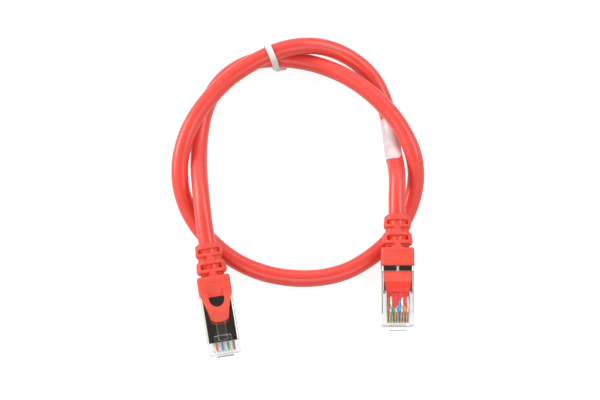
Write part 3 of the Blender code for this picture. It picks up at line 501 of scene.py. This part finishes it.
def piece_of(mesh, name):
    piece = bpy.data.objects.new(name, mesh)
    bpy.context.scene.collection.objects.link(piece)
    return piece


def only(piece):
    """Selects the piece and nothing else."""
    bpy.ops.object.select_all(action="DESELECT")
    bpy.context.view_layer.objects.active = piece
    piece.select_set(True)


def apply_modifiers(piece):
    only(piece)
    for modifier in list(piece.modifiers):
        bpy.ops.object.modifier_apply(modifier=modifier.name)


def in_place(piece, matrix):
    """Takes a piece to its place, which then lies in its mesh."""
    only(piece)
    piece.matrix_world = matrix @ piece.matrix_world
    bpy.ops.object.transform_apply()


def merged_copy(node, name):
    """A copy of a CAD node with its loose triangles merged into flat faces."""
    bm = bmesh.new()
    bm.from_mesh(frame["nodes"][node].data)
    bmesh.ops.remove_doubles(bm, verts=bm.verts, dist=0.002 * MM)
    points = [vertex.co.copy() for vertex in bm.verts]
    faces = [[vertex.index for vertex in face.verts] for face in bm.faces]
    bm.free()
    # Built again from plain points, so that no shading of the loose triangles is left on it
    mesh = bpy.data.meshes.new(name)
    mesh.from_pydata(points, [], faces)
    bm = bmesh.new()
    bm.from_mesh(mesh)
    bmesh.ops.recalc_face_normals(bm, faces=bm.faces)
    bmesh.ops.dissolve_limit(bm, angle_limit=math.radians(0.6), verts=bm.verts, edges=bm.edges)
    bm.to_mesh(mesh)
    bm.free()
    return piece_of(mesh, name)


def rounded(piece, edge):
    """Rounds the piece's edges by `edge` millimetres and shades it smooth between them."""
    bevel = piece.modifiers.new("Rounded edges", "BEVEL")
    bevel.width = edge * MM
    bevel.segments = 2
    bevel.limit_method = "ANGLE"
    bevel.angle_limit = math.radians(ROUNDED_ABOVE)
    apply_modifiers(piece)
    bpy.ops.object.shade_smooth_by_angle(angle=math.radians(SMOOTH_BELOW))
    flat = piece.modifiers.new("Flat faces stay flat", "WEIGHTED_NORMAL")
    flat.keep_sharp = True
    apply_modifiers(piece)
    return piece


def moulded(piece, grid, tag):
    """Puts the piece on an even grid of `grid` millimetres and smooths it, so that its edges are soft.

    The hood and its tongue keep their shape where they meet, so that they run on into each other.
    """
    even = piece.modifiers.new("Even grid", "REMESH")
    even.mode = "VOXEL"
    even.voxel_size = grid * MM
    apply_modifiers(piece)
    inside = plug_matrix(tag).inverted()
    free = piece.vertex_groups.new(name="free")
    for vertex in piece.data.vertices:
        place = (inside @ vertex.co) / MM
        away = abs(place.y - TONGUE_ROOT) / SHARP_NEAR_ROOT if place.z < TONGUE_LEVEL else 1.0
        free.add([vertex.index], min(1.0, away), "REPLACE")
    soft = piece.modifiers.new("Soft edges", "SMOOTH")
    soft.factor = 0.5
    soft.iterations = SOFT_PASSES
    soft.vertex_group = free.name
    apply_modifiers(piece)
    piece.vertex_groups.clear()
    bpy.ops.object.shade_smooth()
    return piece


def rod(radii, length, tag):
    """An oval rod along a plug's middle line, centred on its lining; sizes in millimetres."""
    bpy.ops.mesh.primitive_cylinder_add(vertices=64, radius=1.0, depth=1.0, rotation=(math.pi / 2, 0.0, 0.0))
    made = bpy.context.object
    made.scale = (radii[0] * MM, radii[1] * MM, length * MM)
    in_place(made, Matrix.Translation((0.0, LINING_MIDDLE * MM, 0.0)))
    in_place(made, plug_matrix(tag))
    return made


def line_relief(boot, tag):
    """Closes the strain relief beside the jacket, so that its windows show the jacket and no hollow."""
    lining = rod(LINING_RADII, LINING_LENGTH, tag)
    bore = rod((BORE_RADIUS, BORE_RADIUS), BORE_LENGTH, tag)
    cut = lining.modifiers.new("Bore", "BOOLEAN")
    cut.operation = "DIFFERENCE"
    cut.object = bore
    apply_modifiers(lining)
    bpy.data.objects.remove(bore)
    only(boot)
    lining.select_set(True)
    bpy.ops.object.join()


def root_into_hood(tongue, tag):
    """Runs the tongue's root a little way into the hood, so that no gap shows between them."""
    outside = plug_matrix(tag)
    inside = outside.inverted()
    root_starts = TONGUE_ROOT - 0.3
    for vertex in tongue.data.vertices:
        place = inside @ vertex.co
        if place.y > root_starts * MM:
            place.y += TONGUE_OVERLAP * MM
            vertex.co = outside @ place


def flash(tag):
    """Thin ragged film of the inner block's plastic, which ran out over the wires when it was moulded."""
    bpy.ops.mesh.primitive_grid_add(x_subdivisions=72, y_subdivisions=10, size=2.0)
    film = bpy.context.object
    film.name = f"flash_{tag}"
    places = [x for x, _ in FLASH_EDGE]
    for vertex in film.data.vertices:
        x = vertex.co.x * places[-1]
        after = next(i for i, place in enumerate(places) if place >= x - 1e-6) or 1
        (x0, y0), (x1, y1) = FLASH_EDGE[after - 1 : after + 1]
        edge = y0 + (y1 - y0) * min(1.0, max(0.0, (x - x0) / (x1 - x0)))
        share = (1.0 - vertex.co.y) / 2
        over_wire = math.cos(2 * math.pi * (x / CONTACT_PITCH - 0.5))
        level = FLASH_LEVEL + FLASH_WAVE * over_wire * share
        vertex.co = (x * MM, (FLASH_ROOT + (edge - FLASH_ROOT) * share) * MM, level * MM)
    wall = film.modifiers.new("Thickness", "SOLIDIFY")
    wall.thickness = FLASH_THICKNESS * MM
    apply_modifiers(film)
    in_place(film, plug_matrix(tag))
    bpy.ops.object.shade_smooth()
    return film


def lengths_along(path):
    """For each point of the path, how far along it lies."""
    lengths = [0.0]
    for start, end in zip(path, path[1:]):
        lengths.append(lengths[-1] + (end - start).length)
    return lengths


def smooth_curve(points, steps):
    """Centripetal curve through the points, with as many steps between each two of them."""
    points = [2 * points[0] - points[1]] + points + [2 * points[-1] - points[-2]]
    curve = []
    for before, start, end, after in zip(points, points[1:], points[2:], points[3:]):
        knots = [0.0]
        for first, second in ((before, start), (start, end), (end, after)):
            knots.append(knots[-1] + math.sqrt((second - first).length))
        for step in range(steps):
            at = knots[1] + (knots[2] - knots[1]) * step / steps
            # A point on each span, then between those, until one is left
            line = [before, start, end, after]
            for reach in (1, 2):
                pairs = zip(line, line[1:], knots, knots[reach:])
                line = [a.lerp(b, (at - low) / (high - low)) for a, b, low, high in pairs]
            curve.append(line[0].lerp(line[1], (at - knots[1]) / (knots[2] - knots[1])))
    return curve + [points[-2]]


def spaced(curve, step):
    """Points of the curve at even distances near the step."""
    lengths = lengths_along(curve)
    count = round(lengths[-1] / step)
    picked, index = [], 0
    for number in range(count + 1):
        at = lengths[-1] * number / count
        while index < len(curve) - 2 and lengths[index + 1] < at:
            index += 1
        share = (at - lengths[index]) / (lengths[index + 1] - lengths[index])
        picked.append(curve[index].lerp(curve[index + 1], share))
    return picked


def cable_path():
    """The cable's middle line: straight in each boot and for one diameter past it, then along the route."""
    straight = BOOT_END + CABLE_DIAMETER
    start = [on_plug("a", 0.0, CABLE_START, 0.0), on_plug("a", 0.0, straight, 0.0)]
    end = [on_plug("b", 0.0, straight, 0.0), on_plug("b", 0.0, CABLE_START, 0.0)]
    points = [(start[0] + start[1]) / 2, start[1]]
    points += [Vector(point) for point in ROUTE] + [end[0], (end[0] + end[1]) / 2]
    curve = smooth_curve(points, CURVE_STEPS)[CURVE_STEPS:-CURVE_STEPS]
    # The same points as the CAD tube has, then rounded off between them
    coarse = [start[0]] + spaced(curve, CAD_STEP * MM) + [end[1]]
    return spaced(smooth_curve(coarse, 10), FINE_STEP * MM)


def path_frames(path):
    """Each point of the path, with two directions across it that don't twist."""
    across = None
    frames = []
    for index, point in enumerate(path):
        ahead = (path[min(index + 1, len(path) - 1)] - path[max(index - 1, 0)]).normalized()
        if across is None:
            across = Vector((0.0, 0.0, 1.0)).cross(ahead).normalized()
        across = (across - ahead * across.dot(ahead)).normalized()
        frames.append((point, across, ahead.cross(across)))
    return frames


def closed_piece(bm, name):
    """The finished bmesh as a piece, its faces pointing outwards."""
    bmesh.ops.recalc_face_normals(bm, faces=bm.faces)
    mesh = bpy.data.meshes.new(name)
    bm.to_mesh(mesh)
    bm.free()
    return piece_of(mesh, name)


def tube(name, path, radius_at, sides):
    """A closed tube along the path. UV: turns round it, and millimetres along it."""
    bm = bmesh.new()
    layer = bm.loops.layers.uv.new("UVMap")
    rings, along, lengths = [], 0.0, []
    for index, (point, across, up) in enumerate(path_frames(path)):
        if index:
            along += (point - path[index - 1]).length / MM
        lengths.append(along)
        ring = []
        for side in range(sides):
            turn = 2 * math.pi * side / sides
            reach = radius_at(along, turn) * MM
            ring.append(bm.verts.new(point + reach * (math.cos(turn) * across + math.sin(turn) * up)))
        rings.append(ring)
    for index, (first, second) in enumerate(zip(rings, rings[1:])):
        here, ahead = lengths[index : index + 2]
        for side in range(sides):
            after = (side + 1) % sides
            face = bm.faces.new((first[side], second[side], second[after], first[after]))
            face.smooth = True
            near, far = side / sides, (side + 1) / sides
            places = ((near, here), (near, ahead), (far, ahead), (far, here))
            for loop, place in zip(face.loops, places):
                loop[layer].uv = place
    bm.faces.new(rings[0])
    bm.faces.new(rings[-1])
    return closed_piece(bm, name)


def wrapped_film(name, path, first, last):
    """The label's film round part of the path, from the first to the last length, with rounded corners.

    Its last edge is bowed out on top, as where a film is stuck on by hand. Lengths are in millimetres.
    """
    frames = path_frames(path)
    lengths = [length / MM for length in lengths_along(path)]
    rows, columns = 60, 72
    bm = bmesh.new()
    sheets = []
    for radius in LABEL_RADII:
        sheet = []
        for row in range(rows + 1):
            near_end = min(row, rows - row) / rows * (last - first)
            inset = max(0.0, LABEL_CORNER - near_end)
            inset = (LABEL_CORNER - math.sqrt(LABEL_CORNER**2 - inset**2)) / radius
            low, high = LABEL_ANGLES[0] + inset, LABEL_ANGLES[1] - inset
            line = []
            for column in range(columns + 1):
                turn = low + (high - low) * column / columns
                at = first + (last - first + LABEL_BOW * max(0.0, math.sin(turn))) * row / rows
                index = max(i for i, length in enumerate(lengths) if length <= at)
                share = (at - lengths[index]) / (lengths[index + 1] - lengths[index])
                point, across, up = (a.lerp(b, share) for a, b in zip(frames[index], frames[index + 1]))
                reach = radius * MM * (math.cos(turn) * across + math.sin(turn) * up)
                line.append(bm.verts.new(point + reach))
            sheet.append(line)
        sheets.append(sheet)
    outer, inner = sheets

    def patch(*corners):
        bm.faces.new(corners).smooth = True

    for row in range(rows):
        for column in range(columns):
            for sheet in sheets:
                a, b = sheet[row], sheet[row + 1]
                patch(a[column], a[column + 1], b[column + 1], b[column])
        for column in (0, columns):
            patch(outer[row][column], outer[row + 1][column], inner[row + 1][column], inner[row][column])
    for row in (0, rows):
        for column in range(columns):
            a, b = outer[row], inner[row]
            patch(a[column], a[column + 1], b[column + 1], b[column])
    return closed_piece(bm, name)


def jacket_radius(along, turn):
    """The jacket follows the pairs inside it: a slow helix of four low lobes, and an uneven draw."""
    lobes = math.cos(4 * (turn - 2 * math.pi * along / LOBE_LAY))
    round_it = (1.4 * math.cos(turn), 1.4 * math.sin(turn))
    drawn = noise.noise(Vector((along / DRAW_LENGTH, *round_it)))
    return CABLE_DIAMETER / 2 + LOBE_HEIGHT * lobes + DRAW_HEIGHT * drawn


def make_camera():
    """The camera looks down on the middle of the view from the side of the plugs."""
    rise = math.radians(VIEW_RISE)
    away = VIEW_DISTANCE * Vector((0.0, -math.cos(rise), math.sin(rise)))
    place = Vector(VIEW_MIDDLE) + away
    bpy.ops.object.camera_add(location=place, rotation=(math.pi / 2 - rise, 0.0, 0.0))
    camera = bpy.context.object
    camera.data.sensor_width = SENSOR
    camera.data.lens = LENS
    camera.data.clip_start = 0.05
    camera.data.clip_end = 10.0
    bpy.context.scene.camera = camera


def seen_directly(material):
    """1 for a ray from the camera, or one that a mirror or a clear piece passes on."""
    path = add(material, "ShaderNodeLightPath")
    seen = path.outputs["Is Camera Ray"]
    for ray in ("Is Glossy Ray", "Is Transmission Ray"):
        either = {0: seen, 1: path.outputs[ray]}
        seen = add(material, "ShaderNodeMath", either, operation="MAXIMUM").outputs[0]
    return seen


def make_world():
    """A white room: a weak fill for the object, and plain white where it is seen."""
    world = bpy.data.worlds.new("Studio")
    bpy.context.scene.world = world
    world.use_nodes = True
    tree = world.node_tree
    backdrop = tree.nodes["Background"]
    backdrop.inputs["Color"].default_value = linear("#FFFFFF")
    fill = add(world, "ShaderNodeBackground", {"Color": linear("#FFFFFF"), "Strength": FILL})
    mix = add(world, "ShaderNodeMixShader", {"Fac": seen_directly(world)})
    feed(world, mix.inputs[1], fill.outputs["Background"])
    feed(world, mix.inputs[2], backdrop.outputs["Background"])
    feed(world, tree.nodes["World Output"].inputs["Surface"], mix.outputs[0])


def make_floor():
    """White table: it keeps the soft contact shadow, and glows a little where it is seen directly."""
    just_below = -0.01 * MM
    bpy.ops.mesh.primitive_plane_add(size=6.0, location=(0.0, 0.0, just_below))
    floor = bpy.context.object
    floor.name = "table"
    made, shader = surface("White table", Base_Color="#A4A4A4", Roughness=0.9, Specular_IOR_Level=0.0)
    glow = add(made, "ShaderNodeEmission", {"Color": linear("#FFFFFF")})
    strength = add(made, "ShaderNodeMath", {0: seen_directly(made), 1: FLOOR_GLOW}, operation="MULTIPLY")
    feed(made, glow.inputs["Strength"], strength.outputs[0])
    both = {0: shader.outputs["BSDF"], 1: glow.outputs["Emission"]}
    total = add(made, "ShaderNodeAddShader", both)
    feed(made, made.node_tree.nodes["Material Output"].inputs["Surface"], total.outputs[0])
    floor.data.materials.append(made)


def make_dark_ceiling():
    """What flat metal mirrors straight up: a dark card that only reflections see."""
    bpy.ops.mesh.primitive_plane_add(size=1.0, location=(0.0, -0.15, 1.1))
    card = bpy.context.object
    card.name = "dark_ceiling"
    card.scale = (0.7, 1.1, 1.0)
    only(card)
    bpy.ops.object.transform_apply()
    made, _ = surface("Dark cloth", Base_Color="#5A534F", Roughness=1.0, Specular_IOR_Level=0.0)
    card.data.materials.append(made)
    card.visible_camera = False
    card.visible_diffuse = False
    card.visible_shadow = False


def softbox(name, place, size, power):
    """A rectangular lamp aimed at the middle of the loop."""
    aim = Vector(LAMP_AIM) - Vector(place)
    turn = aim.to_track_quat("-Z", "Y").to_euler()
    bpy.ops.object.light_add(type="AREA", location=place, rotation=turn)
    lamp = bpy.context.object
    lamp.name = name
    lamp.data.shape = "RECTANGLE"
    lamp.data.size, lamp.data.size_y = size
    lamp.data.energy = power


def make_tie():
    """The band round two strands: drawn tight, it stands straight and doesn't bow over the upper one."""
    tie = rounded(merged_copy("cable_tie", "tie_band"), 0.12)
    for vertex in tie.data.vertices:
        if vertex.co.z < TIE_FOOT_TOP * MM and vertex.co.y < TIE_TAIL * MM:
            vertex.co += Vector(TIE_FOOT_SHIFT) * MM
        turned = TIE_TURN * (vertex.co.y - TIE_FOOT * MM)
        vertex.co.x += TIE_SHIFT * MM - turned - TIE_STRAIGHTENING * vertex.co.z
    return finish_piece(tie, tie_plastic(), replaces=["cable_tie"])


def make_label(path):
    """The film label, on the second strand that passes its place."""
    lengths = lengths_along(path)
    place = Vector(LABEL_PLACE) * MM
    second_half = range(len(path) // 2, len(path))
    middle = lengths[min(second_half, key=lambda i: (path[i].xy - place).length)] / MM
    film = wrapped_film("label_band", path, middle - LABEL_REACH[0], middle + LABEL_REACH[1])
    return finish_piece(film, label_film(), replaces=["cable_label"])


def make_boot(tag, look):
    """The moulded hood and strain relief, and the tongue over the latch, which rides on its own body."""
    boot = merged_copy(f"plug_{tag}_boot", f"boot_{tag}")
    line_relief(boot, tag)
    finish_piece(moulded(boot, BOOT_GRID, tag), look, replaces=[f"plug_{tag}_boot"])
    node = f"plug_{tag}_boot_tongue"
    tongue = merged_copy(node, f"boot_tongue_{tag}")
    root_into_hood(tongue, tag)
    finish_piece(moulded(tongue, TONGUE_GRID, tag), look, f"tongue_{tag}", [node])


def make_plug(tag, contact_look, wire_looks):
    """The plug's inner block with its flash, its clear body and latch, its shield, contacts and wires."""
    block = mould_pvc(tag)
    finish_piece(flash(tag), block)
    body = clear_polycarbonate(f"body {tag}", 0.0, HAZY_PLACES, tag)
    lever = clear_polycarbonate(f"latch {tag}", 0.006)
    for part, look, slot, edge, rides_on in (
        ("housing", body, "clear_plastic", 0.08, MAIN_BODY),
        ("latch", lever, "clear_plastic", 0.12, f"latch_{tag}"),
        ("shield", nickel_plate(tag), "nickel_sheet", 0.09, MAIN_BODY),
        ("inner_mould", block, "mould_pvc", 0.12, MAIN_BODY),
    ):
        node = f"plug_{tag}_{part}"
        finish_piece(rounded(merged_copy(node, f"{part}_{tag}"), edge), look, rides_on, [node])
    for index, (look, (_, _, _, slot)) in enumerate(zip(wire_looks, WIRES)):
        number = index + 1
        node = f"plug_{tag}_contact_{number}"
        contact = rounded(merged_copy(node, f"contact_{tag}_{number}"), 0.05)
        finish_piece(contact, contact_look, replaces=[node])
        across = CONTACT_PITCH * ((len(WIRES) - 1) / 2 - index)
        line = smooth_curve([on_plug(tag, share * across, y, WIRE_LEVEL) for y, share in WIRE_LINE], 8)
        wire = tube(f"wire_{tag}_{number}", line, lambda along, turn: WIRE_DIAMETER / 2, WIRE_SIDES)
        finish_piece(wire, look, replaces=[f"plug_{tag}_wire_{number}"])


make_camera()
make_world()
make_floor()
make_dark_ceiling()
for name, (place, size, power) in SOFTBOXES.items():
    softbox(name, place, size, power)

bpy.context.scene.view_settings.view_transform = "Standard"

path = cable_path()
jacket = tube("jacket", path, jacket_radius, JACKET_SIDES)
finish_piece(jacket, jacket_pvc(), replaces=["cable_jacket"])
tie = make_tie()
label = make_label(path)

boot_look = boot_pvc()
contact_look = gold_plate()
wire_looks = [wire_insulation(name, base, stripe) for name, base, stripe, _ in WIRES]
for tag in ("a", "b"):
    make_boot(tag, boot_look)
    make_plug(tag, contact_look, wire_looks)
